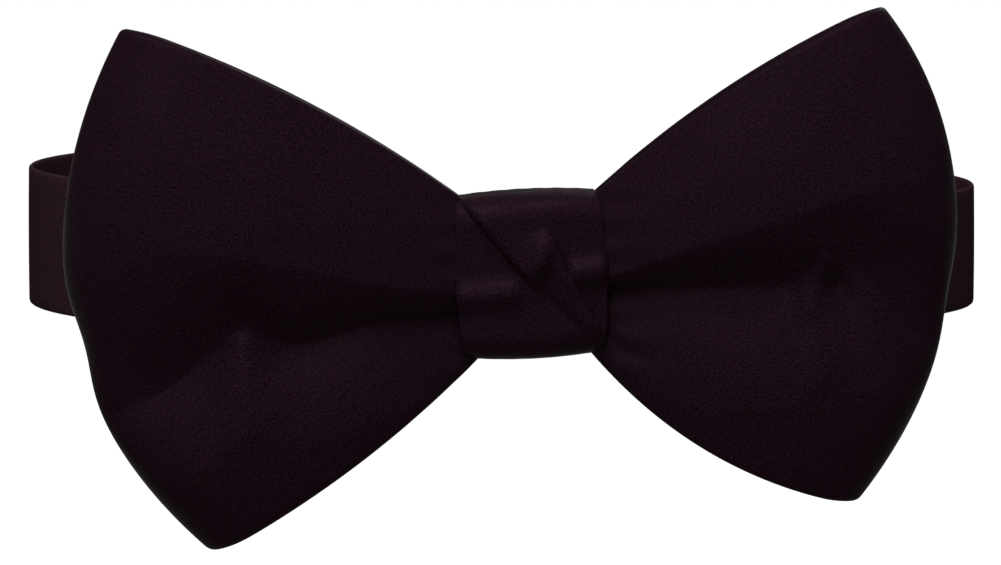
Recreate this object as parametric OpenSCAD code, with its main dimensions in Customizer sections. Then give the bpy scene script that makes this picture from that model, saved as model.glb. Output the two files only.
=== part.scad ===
// Pre-tied bow tie on an adjustable neck band: two folded satin wings, a wrapped knot,
// a band in two halves, a three-bar slide adjuster and a hook-and-eye clasp at the nape.
// Frame: origin at the centre of the neck opening, +Z up, the bow faces -Y.
// Angles along the band are measured from the front (-Y) towards +X, 180 at the nape.

/* [Neck band] */
// Radius of the neck opening, to the band's inner face
band_inner_r = 66; // [60:0.5:78]
// Thickness of the folded and lined band
strap_t = 0.9; // [0.8:0.05:1.1]
// Thickness of one ply of the band's satin
satin_t = 0.25; // [0.15:0.05:0.3]
// Width of the short half of the band, which carries the hook
short_band_w = 19.5; // [16:0.5:24]
// Width of the long half of the band, which carries the adjuster
long_band_w = 17; // [14:0.5:20]
// Width of the band where the knot squeezes it
knot_band_w = 16.4; // [12:0.2:16.6]
// Angle from the front at which each half of the band is free to swing
swing_at = 25; // [23:1:40]
// Gap between two lengths of strap that slide over each other
ply_gap = 0.25; // [0.2:0.05:0.4]

/* [Adjuster and clasp] */
// Angle of the adjuster's centre bar, with the band let out to its full length
slider_at = 130; // [110:1:132]
// Angle of the eye's strap bar
eye_at = 152; // [151:1:168]
// Angle of the hook's strap bar, on the other side
hook_at = 160; // [150:1:168]
// Thickness of the metal plates
plate_t = 1; // [0.8:0.1:1.2]
// Width of the metal rails beside a strap
rail_w = 1.6; // [1.2:0.1:2.4]
// Radius of the round bars that the straps are folded over
bar_r = 0.65; // [0.5:0.05:0.7]
// Play of a strap between the rails, both sides together
strap_play = 1; // [0.6:0.1:2]
// Length of one window of the adjuster, along the strap
slider_window = 5.4; // [4.6:0.1:7]
// Width of the hook's tongue
tongue_w = 7.5; // [5:0.5:9]
// Length of the hook's tongue, from its frame to the bend
tongue_len = 5.6; // [4:0.2:6]
// Inside radius of the hook's bend
hook_bend_r = 0.8; // [0.6:0.1:1]
// Length of the hook's turned-back end
hook_return = 3; // [2:0.5:4]
// Play of the tongue in the eye, both sides together
eye_play = 2; // [1:0.5:4]
// Opening of the eye along the strap
eye_slot = 3.2; // [2.6:0.1:3.6]
// Length of the short band's sewn-back tail, in degrees round the loop
hook_tail = 15; // [10:1:25]

/* [Knot] */
// Width of the knot at its middle
knot_w = 20; // [16:0.5:26]
// Height of the knot at its middle
knot_h = 22.1; // [22:0.1:26]
// Depth of the knot, front to back
knot_depth = 13.2; // [12.6:0.2:16]
// Thickness of the satin wrap
wrap_t = 0.9; // [0.6:0.1:1]
// How much lower the knot is at its two sides than at its middle
knot_arch = 0.5; // [0:0.1:0.6]
// How far the knot's front stands out in the middle
knot_crown = 1; // [0:0.1:2]
// How far the bow leans, counterclockwise as seen from the front
bow_lean = 2.7; // [-4:0.1:4]
// Half-height of the gathered waist inside the knot
waist_h = 6.2; // [5:0.1:7]
// Half-depth of the gathered waist inside the knot
waist_d = 3; // [2.4:0.1:3.4]
// Turns of the thread that binds the waist
thread_turns = 5; // [3:1:9]
// Radius of the binding thread
thread_r = 0.25; // [0.15:0.05:0.35]

/* [Left wing] */
// Left wing: sideways reach of the upper tip
left_top_x = 52.2; // [40:0.1:62]
// Left wing: height of the upper tip
left_top_z = 35.4; // [26:0.1:42]
// Left wing: sideways reach of the lower tip
left_low_x = 43.9; // [36:0.1:56]
// Left wing: depth of the lower tip below the knot's centre
left_low_z = 35.1; // [26:0.1:42]
// Left wing: how far the outer fold bulges
left_side_swell = 13.4; // [6:0.1:16]

/* [Right wing] */
// Right wing: sideways reach of the upper tip
right_top_x = 48.4; // [40:0.1:62]
// Right wing: height of the upper tip
right_top_z = 33.3; // [26:0.1:42]
// Right wing: sideways reach of the lower tip
right_low_x = 41.9; // [36:0.1:56]
// Right wing: depth of the lower tip below the knot's centre
right_low_z = 32.4; // [26:0.1:42]
// Right wing: how far the outer fold bulges
right_side_swell = 11.6; // [6:0.1:16]

/* [Both wings] */
// How far the upper edge bulges above a straight line
top_swell = 2.1; // [0:0.1:5]
// How far the lower edge bulges below a straight line
low_swell = 3.7; // [0:0.1:6]
// How far above its middle the outer fold bulges most
side_lift = 2.5; // [0:0.1:5]
// Thickness of the wings' satin
wing_t = 0.7; // [0.5:0.1:1]
// Thickness of the wings' interlining
lining_t = 0.4; // [0.3:0.1:0.6]
// How far the front panel stands forward of the wing's middle plane
front_depth = 8.6; // [6:0.2:11]
// How far the back panel stands behind the wing's middle plane
back_depth = 3.4; // [2.6:0.2:3.6]
// Share of the front panel's depth that the middle valley takes away
valley = 0.4; // [0:0.05:0.6]
// Clear gap between a wing and the knot's side
root_gap = 1; // [0.9:0.1:1.5]

/* [Hidden] */

satin = [0.10, 0.07, 0.09];
lining = [0.72, 0.70, 0.66];
nickel = [0.72, 0.72, 0.74];
thread = [0.16, 0.12, 0.15];

eps = 0.05;              // gap between a piece and the lining inside it
wing_eps = 0.15;         // the same gap inside a wing, whose faces are coarser
free = 0.3;              // gap between bodies that move past each other
joint_gap = 0.4;         // gap across a strap where it swings
band_foot = -short_band_w / 2;
long_top = band_foot + long_band_w;
long_mid = band_foot + long_band_w / 2;

// Layers of strap, by the radius of each one's inner face, from the neck outwards
under_r = band_inner_r + strap_t + ply_gap;
over_r = under_r + strap_t + 0.1;
slider_r = over_r + strap_t + 0.1 + plate_t / 2;
bend_r = bar_r + eps + strap_t / 2;                // middle of a strap folded over a bar
fold_r = bar_r + eps + strap_t;                    // and its outside
hump_r = slider_r + fold_r + 0.1;                  // strap where it crosses the centre bar
eye_r = under_r + 0.15 + fold_r;
hook_r = band_inner_r + 0.1 + fold_r;
frame_h = long_band_w + strap_play;
hook_frame_h = short_band_w + strap_play;

// The knot stands just outside the neck opening
knot_back = band_inner_r + 0.2;
knot_front = knot_back + knot_depth;
wrap_inner = knot_back + wrap_t;
seat_r = wrap_inner + free;                        // band where it runs through the knot
back_corner = 1.6;
front_corner = 5.2;
waist_mid = (seat_r + strap_t + knot_front - wrap_t) / 2;
wing_mid = waist_mid + 0.1;
root_x = knot_w / 2 + root_gap;
root_h = knot_h / 2 - 0.45;
root_depth = [4.1, 3];                             // wing at the knot: forward, backward

function mix(a, b, t) = a * (1 - t) + b * t;
function clamp01(t) = max(0, min(1, t));
function ease(t) = clamp01(t) * clamp01(t) * (3 - 2 * clamp01(t));
function bezier(a, c, b, t) = a * (1 - t) * (1 - t) + c * 2 * t * (1 - t) + b * t * t;
// Control point of a curve from a to b whose middle stands s to the left of the chord
function swollen(a, b, s, along = 0) =
    let (d = (b - a) / norm(b - a))
    (a + b) / 2 + [-d[1], d[0]] * 2 * s + d * 2 * along;
function polar(phi, r) = [r * sin(phi), -r * cos(phi)];
function to_angle(len, r) = len / r * 180 / PI;

// ---------- shapes that repeat ----------

// A closed sheet: grid[level][k] is a pair of points, one on each face
module sheet(grid) {
    n = len(grid[0]);
    m = 2 * n;
    rows = [for (level = grid) concat([for (p = level) p[0]], [for (k = [n - 1:-1:0]) level[k][1]])];
    last = (len(grid) - 1) * m;
    sides = [for (j = [0:len(grid) - 2], i = [0:m - 1])
        let (a = j * m + i, b = j * m + (i + 1) % m)
        each [[a, b, a + m], [b, b + m, a + m]]];
    ends = [for (i = [0:n - 2])
        let (a = i, b = i + 1, c = m - 2 - i, d = m - 1 - i)
        each [[a, c, b], [a, d, c], [last + a, last + b, last + c], [last + a, last + c, last + d]]];
    polyhedron([for (row = rows) each row], concat(sides, ends), convexity = 6);
}

// A tube bent into a closed ellipse in the plane across X
module ring_tube(half_z, half_y, r, steps = 28, facets = 6) {
    points = [for (i = [0:steps - 1], j = [0:facets - 1])
        let (a = 360 * i / steps, b = 360 * j / facets)
        [r * sin(b), (half_y + r * cos(b)) * cos(a), (half_z + r * cos(b)) * sin(a)]];
    faces = [for (i = [0:steps - 1], j = [0:facets - 1])
        let (i2 = (i + 1) % steps, j2 = (j + 1) % facets,
             a = i * facets + j, b = i * facets + j2, c = i2 * facets + j2, d = i2 * facets + j)
        each [[a, c, b], [a, d, c]]];
    polyhedron(points, faces, convexity = 4);
}

// A straight-sided length of band: a true ring sector
module sector(r, t, low, high, from, to) {
    rotate([0, 0, from - 90])
        rotate_extrude(angle = to - from, $fn = 180)
            translate([r, low]) square([t, high - low]);
}

// A hollow length of band that holds its lining
module casing(low, high, from, to) {
    difference() {
        sector(band_inner_r, strap_t, low, high, from, to);
        sector(band_inner_r + satin_t, strap_t - 2 * satin_t, low + satin_t, high - satin_t,
            from + 0.2, to - 0.2);
    }
}

module casing_lining(low, high, from, to) {
    sector(band_inner_r + satin_t + eps, strap_t - 2 * (satin_t + eps),
        low + satin_t + eps, high - satin_t - eps, from + 0.3, to - 0.3);
}

// A strap whose radius and edges change along the loop; path = [[angle, radius, low, high], ...]
module strap(path, t) {
    sheet([for (level = [2, 3])
        [for (p = path) [[each polar(p[0], p[1]), p[level]], [each polar(p[0], p[1] + t), p[level]]]]]);
}

// Sets a part on the loop: local X is outwards, local Y runs along the band to the nape
module on_loop(phi, r) {
    rotate([0, 0, phi - 90]) translate([r, 0, 0]) children();
}

// A strap of even thickness along a centreline of [x, y] points
module ribbon(line, low, high) {
    n = len(line);
    function across(i) = let (d = line[min(i + 1, n - 1)] - line[max(i - 1, 0)])
        [d[1], -d[0]] / norm(d) * strap_t / 2;
    sheet([for (z = [low, high])
        [for (i = [0:n - 1]) [[each line[i] - across(i), z], [each line[i] + across(i), z]]]]);
}

// Points round a bar, from one angle to another: 0 is ahead, 90 is outwards
function round_bar(phi, r, a0, a1, n = 12) =
    let (c = polar(phi, r), ahead = [cos(phi), sin(phi)], out = [sin(phi), -cos(phi)])
    [for (i = [0:n]) let (a = mix(a0, a1, i / n)) c + bend_r * (cos(a) * ahead + sin(a) * out)];

// A flat plate in the plane of the strap, drawn as [along, height]
module plate(t = plate_t) {
    rotate([90, 0, -90]) mirror([1, 0, 0]) translate([0, 0, -t / 2]) linear_extrude(t) children();
}

// A rectangle with round corners, drawn from its lower corner
module round_rect(size, r) {
    hull() for (x = [r, size[0] - r], y = [r, size[1] - r])
        translate([x, y]) circle(r = r, $fn = 32);
}

// ---------- neck band ----------

half_knot_angle = to_angle(knot_w / 2, seat_r) + 1;

// Band behind the bow: squeezed and flat in the knot, then down to the neck opening
function centre_path(edge) = [for (i = [-20:20])
    let (phi = i / 20 * (swing_at - to_angle(joint_gap / 2, band_inner_r)),
         s = ease((abs(phi) - half_knot_angle) / (swing_at - 2 - half_knot_angle)),
         flat_r = seat_r / cos(min(abs(phi), half_knot_angle)),
         top = phi > 0 ? long_top : -band_foot)
    [phi, mix(flat_r, band_inner_r, s) + edge,
        mix(-knot_band_w / 2, band_foot, s) + edge, mix(knot_band_w / 2, top, s) - edge]];

module band_centre() {
    color(satin) difference() {
        strap(centre_path(0), strap_t);
        strap([for (i = [1:39]) centre_path(satin_t)[i]], strap_t - 2 * satin_t);
    }
}

module centre_lining() {
    inset = satin_t + eps;
    color(lining) strap([for (i = [2:38]) centre_path(inset)[i]], strap_t - 2 * inset);
}

swing_start = swing_at + to_angle(joint_gap / 2, band_inner_r);
hook_end = hook_at - to_angle(fold_r, hook_r);

module short_band() {
    color(satin) mirror([1, 0, 0])
        casing(band_foot, -band_foot, swing_start, hook_end - 2);
}

module short_lining() {
    color(lining) mirror([1, 0, 0])
        casing_lining(band_foot, -band_foot, swing_start, hook_end - 2);
}

module long_band() {
    color(satin) casing(band_foot, long_top, swing_start, slider_at);
}

module long_lining() {
    color(lining) casing_lining(band_foot, long_top, swing_start, slider_at);
}

// ---------- adjuster end of the band ----------

eye_leg = eye_at - 4;                              // where the fold round the eye begins
hump_flat = to_angle(fold_r, slider_r);            // half-length over the centre bar
hump_foot = to_angle(slider_window + bar_r - 0.5, slider_r);
slider_half = to_angle(slider_window + bar_r + rail_w, slider_r);

// Radius of the outer strap: under the side bars, over the centre bar, out to the eye
function outer_r(phi) =
    let (away = abs(phi - slider_at),
         hump = 1 - ease((away - hump_flat) / (hump_foot - hump_flat)),
         rise = ease((phi - eye_leg + 6) / 5))
    over_r + hump * (hump_r - over_r) + rise * (eye_r + fold_r - strap_t - over_r);

module outer_strap() {
    start = slider_at - slider_half - 1.5;
    steps = 60;
    color(satin) strap([for (i = [0:steps])
        let (phi = mix(start, eye_leg - 0.3, i / steps))
        [phi, outer_r(phi), band_foot, long_top]], strap_t);
}

// From the eye back to the adjuster, ending round its centre bar
module return_strap() {
    steps = 24;
    run = [for (i = [1:steps])
        let (phi = mix(slider_at, eye_leg - 0.3, i / steps),
             near_bar = 1 - ease((phi - slider_at) / hump_foot),
             near_eye = ease((phi - eye_leg + 6) / 5),
             low_r = under_r + strap_t / 2)
        polar(phi, low_r + near_bar * (slider_r - bend_r - low_r) + near_eye * (eye_r - bend_r - low_r))];
    color(satin) ribbon(concat(round_bar(slider_at, slider_r, 30, 270, 20), run), band_foot + eps, long_top - eps);
}

module eye_fold() {
    line = concat([for (i = [0:5]) polar(mix(eye_leg, eye_at, i / 6), eye_r - bend_r)],
        round_bar(eye_at, eye_r, -90, 90),
        [for (i = [5:-1:0]) polar(mix(eye_leg, eye_at, i / 6), eye_r + bend_r)]);
    color(satin) ribbon(line, band_foot, long_top);
}

// Three bars: a flat frame with a round bar across its middle
module slide_adjuster() {
    length = 2 * (slider_window + bar_r + rail_w);
    height = frame_h + 2 * rail_w;
    color(nickel) on_loop(slider_at, slider_r) union() {
        translate([0, 0, long_mid]) plate() difference() {
            translate([-length / 2, -height / 2]) round_rect([length, height], rail_w + 0.4);
            translate([-length / 2 + rail_w, -frame_h / 2])
                round_rect([length - 2 * rail_w, frame_h], 0.5);
        }
        translate([0, 0, long_mid - frame_h / 2 - rail_w / 2])
            cylinder(r = bar_r, h = frame_h + rail_w, $fn = 48);
    }
}

// Frame that holds a strap: two rails and a crosspiece, closed by a round bar at the origin
module strap_frame(inside_h, mid) {
    slot = fold_r + 1.4;
    translate([0, 0, mid]) plate() difference() {
        translate([-bar_r, -inside_h / 2 - rail_w]) square([bar_r + slot + rail_w, inside_h + 2 * rail_w]);
        translate([-bar_r - 1, -inside_h / 2]) square([bar_r + 1 + slot, inside_h]);
    }
    translate([0, 0, mid - inside_h / 2 - rail_w]) cylinder(r = bar_r, h = inside_h + 2 * rail_w, $fn = 48);
}

frame_reach = fold_r + 1.4 + rail_w;

module eye_plate() {
    eye_h = tongue_w + eye_play;
    color(nickel) on_loop(eye_at, eye_r) union() {
        strap_frame(frame_h, long_mid);
        translate([0, 0, long_mid]) plate() difference() {
            translate([frame_reach - 1.2, -eye_h / 2 - rail_w])
                round_rect([1.2 + eye_slot + rail_w, eye_h + 2 * rail_w], 1);
            translate([frame_reach, -eye_h / 2]) round_rect([eye_slot, eye_h], 0.6);
        }
    }
}

module hook() {
    bend_at = frame_reach + tongue_len;
    color(nickel) mirror([1, 0, 0]) on_loop(hook_at, hook_r) union() {
        strap_frame(hook_frame_h, 0);
        plate() translate([frame_reach - 1, -tongue_w / 2]) square([tongue_len + 1, tongue_w]);
        translate([plate_t / 2 + hook_bend_r, bend_at, -tongue_w / 2])
            rotate_extrude(angle = 180, $fn = 48)
                translate([hook_bend_r, 0]) square([plate_t, tongue_w]);
        translate([plate_t + 2 * hook_bend_r, 0, 0]) plate()
            translate([bend_at - hook_return, -tongue_w / 2]) square([hook_return, tongue_w]);
    }
}

// The short band's end: folded over the hook's bar and sewn back on the outside
module hook_fold() {
    start = hook_end - 2 + 0.05;
    neck_r = band_inner_r + strap_t / 2;
    tail_r = neck_r + strap_t + eps;
    line = concat(
        [for (i = [0:5]) polar(mix(start, hook_at, i / 6), mix(neck_r, hook_r - bend_r, ease(i / 5)))],
        round_bar(hook_at, hook_r, -90, 90),
        [for (i = [15:-1:0]) let (phi = mix(hook_at - hook_tail, hook_at, i / 16))
            polar(phi, mix(tail_r, hook_r + bend_r, ease((phi - hook_end + 8) / 7)))]);
    color(satin) mirror([1, 0, 0]) ribbon(line, band_foot + eps, -band_foot - eps);
}

// Bar tack across the tail: a row of thread stitches
module hook_tack() {
    stitches = 9;
    pitch = short_band_w * 0.8 / stitches;
    color(thread) mirror([1, 0, 0])
        for (i = [0:stitches - 1], side = [0, 1])
            on_loop(hook_at - hook_tail + 1.6 + side * 2.6, band_inner_r + 2 * strap_t + eps)
                translate([0.02, -0.2, (i - stitches / 2 + 0.12) * pitch]) cube([0.22, 0.4, pitch * 0.7]);
}

// ---------- knot ----------

// Leans the bow about the knot's centre
module leaning() {
    rotate([0, -bow_lean, 0]) children();
}

function arc_points(cd, cz, r, a0, a1, n) =
    [for (i = [0:n]) let (a = mix(a0, a1, i / n)) [cd + r * cos(a), cz + r * sin(a)]];

// Section through the knot, as [distance to the front, height], set in by a distance
function knot_loop(half_h, front, inset, seam) = concat(
    [[knot_back + inset, seam]],
    arc_points(knot_back + back_corner, half_h - back_corner, back_corner - inset, 180, 90, 3),
    arc_points(front - front_corner, half_h - front_corner, front_corner - inset, 90, 0, 8),
    arc_points(front - front_corner, front_corner - half_h, front_corner - inset, 0, -90, 8),
    arc_points(knot_back + back_corner, back_corner - half_h, back_corner - inset, -90, -180, 3),
    [[knot_back + inset, -seam]]);

// The wrap runs round the waist and meets itself in a seam at the back
module knot_shell(outer, inner, half_w, seam) {
    stations = 12;
    sheet([for (i = [0:stations])
        let (q = 2 * i / stations - 1,
             half_h = knot_h / 2 - knot_arch * q * q,
             front = knot_front - knot_crown * q * q,
             a = knot_loop(half_h, front, outer, seam),
             b = knot_loop(half_h, front, inner, seam))
        [for (k = [0:len(a) - 1])
            [for (p = [a[k], b[k]]) [-q * half_w * (1 - 0.07 * pow(2 * p[1] / knot_h, 2)), -p[0], p[1]]]]]);
}

module knot_wrap() {
    color(satin) leaning() knot_shell(0, wrap_t, knot_w / 2, 0.05);
}

module knot_lining() {
    inner = wrap_t + eps;
    color(lining) leaning() intersection() {
        knot_shell(inner, inner + lining_t, knot_w / 2 - 0.8, 0.05);
        translate([-knot_w, -knot_front, -knot_h])
            cube([2 * knot_w, knot_front - seat_r - strap_t - free, 2 * knot_h]);
    }
}

// Slip stitches that close the wrap's seam, on the neck side
module knot_stitches() {
    stitches = 7;
    color(thread) leaning()
        for (i = [0:stitches - 1])
            translate([mix(-0.4, 0.4, i / (stitches - 1)) * knot_w, -knot_back + 0.08, 0])
                rotate([0, 25, 0]) translate([-0.2, -0.06, -0.9]) cube([0.4, 0.12, 1.8]);
}

function oval(half_d, half_z, n = 32) = [for (i = [0:n - 1])
    let (a = 360 * i / n, c = cos(a), s = sin(a))
    [half_d * sign(c) * pow(abs(c), 0.92), half_z * sign(s) * pow(abs(s), 0.92)]];

// The bow's middle, gathered small and bound with thread
module bow_waist() {
    half_w = knot_w / 2 - 0.3;
    stations = 10;
    n = 32;
    end_d = (knot_front - knot_crown - wrap_t - lining_t - seat_r - strap_t) / 2 - 0.6;
    end_h = knot_h / 2 - knot_arch - wrap_t - lining_t - 0.6;
    rows = [for (i = [0:stations])
        let (q = 2 * i / stations - 1)
        [for (p = oval(mix(waist_d, end_d, q * q), mix(waist_h, end_h, q * q), n))
            [q * half_w, p[0] - waist_mid, p[1]]]];
    sides = [for (i = [0:stations - 1], j = [0:n - 1])
        let (a = i * n + j, b = i * n + (j + 1) % n)
        each [[a, a + n, b], [b, a + n, b + n]]];
    first = [[for (j = [0:n - 1]) j]];
    last = [[for (j = [n - 1:-1:0]) stations * n + j]];
    color(satin) leaning()
        polyhedron([for (row = rows) each row], concat(sides, first, last), convexity = 4);
}

module waist_thread() {
    pitch = 2 * thread_r + 0.1;
    clear = thread_r + 0.12 + 0.004 * pow(thread_turns, 2);
    color(thread) leaning()
        for (i = [0:thread_turns - 1])
            translate([(i - (thread_turns - 1) / 2) * pitch, -waist_mid, 0])
                ring_tube(waist_h + clear, waist_d + clear, thread_r);
}

// ---------- wings ----------

left_spec = [[left_top_x, left_top_z], [left_low_x, -left_low_z], left_side_swell];
right_spec = [[right_top_x, right_top_z], [right_low_x, -right_low_z], right_side_swell];

root_top = [root_x, root_h];
root_low = [root_x, -root_h];

// Outline of a wing as a patch: u runs out from the knot, v runs up from the lower edge
function wing_point(spec, u, v) =
    let (top = bezier(root_top, swollen(root_top, spec[0], top_swell), spec[0], u),
         low = bezier(root_low, swollen(root_low, spec[1], -low_swell), spec[1], u),
         side = bezier(spec[1], swollen(spec[1], spec[0], -spec[2], side_lift), spec[0], v),
         root = mix(root_low, root_top, v),
         corners = mix(mix(root_low, spec[1], u), mix(root_top, spec[0], u), v))
    mix(low, top, v) + mix(root, side, u) - corners;

function fullness(u, root, full) = mix(root, full, sin(90 * min(1, u / 0.6)));
function rim(v) = 1 - 0.5 * pow(abs(2 * v - 1), 4);
function fold_cap(u) = sqrt(max(0, 1 - pow(u, 10)));
function valley_cut(u, v) = 1 - valley * exp(-pow((v - 0.47) / 0.13, 2)) * (1 - 0.5 * u);

// Point on the wing's cloth: turn goes from 0 at the front of the knot, through 90 at the
// outer fold, to 180 at the back of the knot; depth is how far inside the outer face it lies
function cloth(spec, turn, v, depth) =
    let (u = sin(turn),
         p = wing_point(spec, u * (1 - depth / spec[0][0]), v),
         front = fullness(u, root_depth[0], front_depth) * rim(v) * valley_cut(u, v),
         back = fullness(u, root_depth[1], back_depth) * rim(v),
         y = turn < 90 ? -(front - depth) : back - depth)
    [p[0], -wing_mid + y * fold_cap(u), p[1]];

module wing(spec, outer, inner) {
    rows = 12;
    turns = 26;
    sheet([for (j = [0:rows])
        [for (i = [0:turns])
            let (turn = 180 * i / turns, v = mix(0.996, 0.004, j / rows))
            [cloth(spec, turn, v, outer), cloth(spec, turn, v, inner)]]]);
}

module right_wing() {
    color(satin) leaning() wing(right_spec, 0, wing_t);
}

module right_wing_lining() {
    color(lining) leaning() wing(right_spec, wing_t + wing_eps, wing_t + wing_eps + lining_t);
}

module left_wing() {
    color(satin) leaning() mirror([1, 0, 0]) wing(left_spec, 0, wing_t);
}

module left_wing_lining() {
    color(lining) leaning() mirror([1, 0, 0]) wing(left_spec, wing_t + wing_eps, wing_t + wing_eps + lining_t);
}

band_centre();
centre_lining();
short_band();
short_lining();
long_band();
long_lining();
outer_strap();
return_strap();
eye_fold();
slide_adjuster();
eye_plate();
hook_fold();
hook();
hook_tack();
knot_wrap();
knot_lining();
knot_stitches();
bow_waist();
waist_thread();
left_wing();
left_wing_lining();
right_wing();
right_wing_lining();
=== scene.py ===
# %% [markdown]
# # A satin bow tie, dressed
#
# The object is a ready-tied bow tie: two folded satin wings and a wrapped knot, sewn to an
# adjustable neck band that closes with a metal hook and eye at the nape. The rigid model gives
# every place and size. This lesson gives it cloth, thread and metal. The steps run from the
# camera and light, through the finishes, to the wings, the knot, the band and the clasp.

# %% Load the frame
import math

import bmesh
import bpy
from mathutils import Matrix, Vector, noise


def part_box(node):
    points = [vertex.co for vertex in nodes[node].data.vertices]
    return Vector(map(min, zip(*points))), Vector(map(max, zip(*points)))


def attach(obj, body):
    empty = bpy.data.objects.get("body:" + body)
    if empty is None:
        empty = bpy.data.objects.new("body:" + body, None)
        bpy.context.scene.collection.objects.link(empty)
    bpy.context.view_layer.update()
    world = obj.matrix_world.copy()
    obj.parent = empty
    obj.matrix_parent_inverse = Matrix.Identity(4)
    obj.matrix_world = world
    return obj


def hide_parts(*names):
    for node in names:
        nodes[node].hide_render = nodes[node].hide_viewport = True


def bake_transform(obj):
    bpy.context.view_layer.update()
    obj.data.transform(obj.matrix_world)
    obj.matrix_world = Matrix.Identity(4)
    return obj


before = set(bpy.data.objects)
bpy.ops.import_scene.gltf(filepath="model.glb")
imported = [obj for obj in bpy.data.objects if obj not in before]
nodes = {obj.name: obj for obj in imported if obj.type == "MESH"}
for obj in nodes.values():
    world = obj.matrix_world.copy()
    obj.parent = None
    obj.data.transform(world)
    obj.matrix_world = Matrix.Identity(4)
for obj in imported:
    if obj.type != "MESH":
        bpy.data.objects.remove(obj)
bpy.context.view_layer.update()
MM = 0.001

# %% [markdown]
# ## Camera
#
# A long lens from over a metre away flattens the bow. The camera stands a little to the left and
# a little above, so the band behind the bow shows higher and further left than the knot. It aims
# at a point beside the knot's centre, with no lens shift.

# %% Camera
KNOT_FACE = Vector((0.0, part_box("knot_wrap")[0].y, 0.0))
CAMERA_AWAY = 1.15
CAMERA_TURN = math.radians(-3.4)
CAMERA_RISE = math.radians(4.4)
VIEW_WIDTH = 134.0 * MM
AIM_OFFSET = Vector((-4.2, 0.0, -1.2)) * MM

camera_data = bpy.data.cameras.new("front_camera")
camera_data.sensor_width = 36
camera_data.lens = camera_data.sensor_width * CAMERA_AWAY / VIEW_WIDTH
camera = bpy.data.objects.new("front_camera", camera_data)
bpy.context.scene.collection.objects.link(camera)
aim = KNOT_FACE + AIM_OFFSET
away = Vector((math.sin(CAMERA_TURN) * math.cos(CAMERA_RISE),
               -math.cos(CAMERA_TURN) * math.cos(CAMERA_RISE), math.sin(CAMERA_RISE)))
camera.location = aim + away * CAMERA_AWAY
camera.rotation_euler = (-away).to_track_quat("-Z", "Y").to_euler()
camera_data.clip_start = 0.05
bpy.context.scene.camera = camera
print("lens mm:", round(camera_data.lens))

# %% [markdown]
# ## Light and floor
#
# Black satin shows its folds only where more light falls on one side of them. A wide soft light
# above and in front lights what faces up and leaves what faces down dark, and a pale room fills
# the rest. The floor is a plain sheet, so far below that the bow's shadow falls out of view.

# %% Light and floor
FLOOR_Z = -0.16
FLOOR_R = 40

scene = bpy.context.scene
scene.view_settings.view_transform = "Standard"

world = bpy.data.worlds.new("room")
world.use_nodes = True
world.node_tree.nodes["Background"].inputs["Color"].default_value = (1.0, 1.0, 1.0, 1.0)
world.node_tree.nodes["Background"].inputs["Strength"].default_value = 0.25
scene.world = world


def soft_light(name, place, size, watts, target=(0.0, -0.07, 0.0)):
    """A square soft box that faces the bow."""
    data = bpy.data.lights.new(name, "AREA")
    data.size = size
    data.energy = watts
    lamp = bpy.data.objects.new(name, data)
    lamp.location = place
    lamp.rotation_euler = (Vector(target) - Vector(place)).to_track_quat("-Z", "Y").to_euler()
    scene.collection.objects.link(lamp)


sky = bpy.data.lights.new("overhead", "SUN")
sky.energy = 11.0
sky.angle = math.radians(40)
overhead = bpy.data.objects.new("overhead", sky)
overhead.rotation_euler = (math.radians(22), math.radians(-7), 0)
scene.collection.objects.link(overhead)

soft_light("front_box", (-0.25, -0.95, 0.42), 0.30, 7)
soft_light("back_box", (0.5, 0.9, 0.7), 0.6, 8, target=(0, 0.05, 0))

bm = bmesh.new()
bmesh.ops.create_circle(bm, cap_ends=True, cap_tris=False, segments=96, radius=FLOOR_R)
bmesh.ops.translate(bm, verts=bm.verts, vec=(0, 0, FLOOR_Z))
floor_mesh = bpy.data.meshes.new("floor")
bm.to_mesh(floor_mesh)
bm.free()
floor = bpy.data.objects.new("floor", floor_mesh)
scene.collection.objects.link(floor)

# %% [markdown]
# ## Two small helpers
#
# Colours are picked as sRGB hex values, as a screen shows them, and the shader wants linear
# ones, so one function turns them. Another adds a node with its settings and its links, which
# keeps each finish short enough to read.

# %% Colour and node helpers


def linear(hex_colour):
    """An sRGB hex colour as the linear values that a shader wants."""
    parts = [int(hex_colour[i:i + 2], 16) / 255 for i in (1, 3, 5)]
    lin = [c / 12.92 if c <= 0.04045 else ((c + 0.055) / 1.055) ** 2.4 for c in parts]
    return (*lin, 1.0)


def add(tree, kind, settings=None, links=None, **values):
    """A node with its settings, its socket values and what feeds its sockets."""
    node = tree.nodes.new(kind)
    for key, value in (settings or {}).items():
        setattr(node, key, value)
    for key, value in values.items():
        node.inputs[key.replace("_", " ")].default_value = value
    for key, source in (links or {}).items():
        tree.links.new(source, node.inputs[key])
    return node


def new_finish(name):
    """A material with its Principled shader."""
    material = bpy.data.materials.new(name)
    material.use_nodes = True
    return material, material.node_tree, material.node_tree.nodes["Principled BSDF"]


def dress(piece, material):
    """Gives a piece one material."""
    piece.data.materials.clear()
    piece.data.materials.append(material)


print("mid grey in linear light:", round(linear("#808080")[0], 3))

# %% The floor's finish
material, tree, shader = new_finish("matt_paper_floor")
shader.inputs["Base Color"].default_value = linear("#929292")
shader.inputs["Roughness"].default_value = 0.9
dress(floor, material)

# %% [markdown]
# ## Satin
#
# Satin weave floats each warp thread over several weft threads, so the face is smooth along the
# warp and catches light in one direction. Black polyester satin is not quite black: close up the
# surface is a fine speckle of plum floats on a darker ground. The brighter floats are partly the
# weave's own colour and partly painted sheen, the light that the floats throw back painted into
# the base colour. The cloth carries its own UV map in metres, so the weave follows the folds. Real
# threads are about 0.1 mm apart, which is too fine to show at this distance, so the speckle is
# drawn at a sixth of a millimetre and up.

# %% Satin
THREAD = 0.16 * MM


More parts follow.
